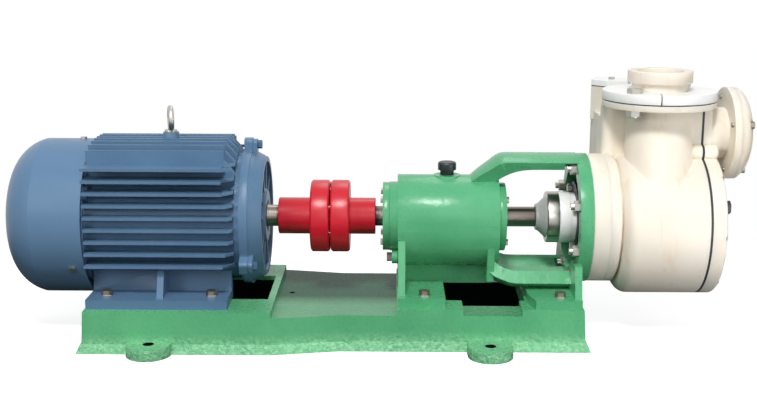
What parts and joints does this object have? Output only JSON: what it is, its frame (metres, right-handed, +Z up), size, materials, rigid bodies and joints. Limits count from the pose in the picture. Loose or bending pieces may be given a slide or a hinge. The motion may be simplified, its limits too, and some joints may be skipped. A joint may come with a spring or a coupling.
{
  "type": "pump",
  "caption": "Horizontal self-priming plastic centrifugal pump with foot-mounted electric motor, flexible coupling and bearing bracket on a cast base plate.",
  "frame": {"origin": "on the floor plane, at the centre of the rectangle of the four anchor holes, under the shaft", "axes": "+X along the shaft from the motor to the pump, +Z up, +Y towards the terminal box side"},
  "size_m": [1.283, 0.406, 0.461],
  "materials": {
    "blue_paint": "gloss paint over cast iron",
    "green_paint": "gloss paint over cast iron",
    "red_paint": "gloss paint over steel",
    "black_paint": "satin black paint",
    "cast_plastic": "natural polyethylene, satin",
    "white_plastic": "white fluoroplastic, satin",
    "black_plastic": "moulded, satin",
    "fan_plastic": "moulded, matt",
    "steel": "turned or ground",
    "zinc_steel": "bright zinc plate",
    "bolt_steel": "dulled zinc plate",
    "stainless": "polished stainless",
    "laminations": "stacked sheet",
    "copper": "enamelled copper wire",
    "brass": "turned",
    "rubber": "matt black rubber",
    "ceramic": "lapped ceramic"
  },
  "bodies": {
    "stand": {"base_plate": "green_paint", "motor_frame": "blue_paint", "stator_core": "laminations", "stator_windings": "copper", "bearing_outer_rings": "steel", "bearing_balls": "steel", "drive_end_shield": "blue_paint", "rear_end_shield": "blue_paint", "medium_hex_screws": "zinc_steel", "fan_cowl": "blue_paint", "small_hex_screws": "zinc_steel", "socket_screws": "bolt_steel", "eye_bolt": "zinc_steel", "terminal_box": "blue_paint", "terminal_cover": "blue_paint", "terminal_board": "black_plastic", "terminal_studs": "brass", "cable_gland": "black_plastic", "foot_bolts": "bolt_steel", "foot_washers": "zinc_steel", "bearing_bracket": "green_paint", "rear_bearing_cover": "green_paint", "front_bearing_cover": "green_paint", "shaft_lip_seals": "rubber", "oil_filler_cap": "black_plastic", "oil_drain_plug": "bolt_steel", "seal_seat_ring": "ceramic", "seal_gland": "stainless", "rear_backing_plate": "black_paint", "rear_cover": "cast_plastic", "flange_studs": "zinc_steel", "pump_body": "cast_plastic", "front_gasket": "rubber", "front_cover": "cast_plastic", "casing_plugs": "black_plastic", "suction_cap": "cast_plastic", "discharge_gasket": "rubber", "discharge_stub": "cast_plastic", "backing_ring": "white_plastic", "flange_bolts": "zinc_steel", "priming_gasket": "rubber", "priming_lid": "white_plastic"},
    "motor_rotor": {"motor_shaft": "steel", "rotor_core": "laminations", "motor_inner_rings": "steel", "cooling_fan": "fan_plastic", "motor_coupling_key": "steel", "motor_coupling_hub": "red_paint", "coupling_pins": "steel", "coupling_bushes": "rubber"},
    "pump_rotor": {"pump_shaft": "steel", "pump_inner_rings": "steel", "pump_coupling_key": "steel", "pump_coupling_hub": "red_paint", "seal_bellows": "white_plastic", "seal_clamp_ring": "stainless", "clamp_screw": "bolt_steel", "rotary_seal_ring": "white_plastic", "impeller": "white_plastic", "impeller_nut": "white_plastic"}
  },
  "joints": [
    {"name": "motor_spin", "type": "hinge", "parent": "stand", "child": "motor_rotor", "pos_m": [-0.097, 0, 0.202], "axis": [1, 0, 0], "continuous": true},
    {"name": "pump_spin", "type": "hinge", "parent": "stand", "child": "pump_rotor", "pos_m": [0.091, 0, 0.202], "axis": [1, 0, 0], "continuous": true}
  ],
  "couplings": [
    {"joint": "pump_spin", "follows": "motor_spin", "ratio": 1}
  ]
}
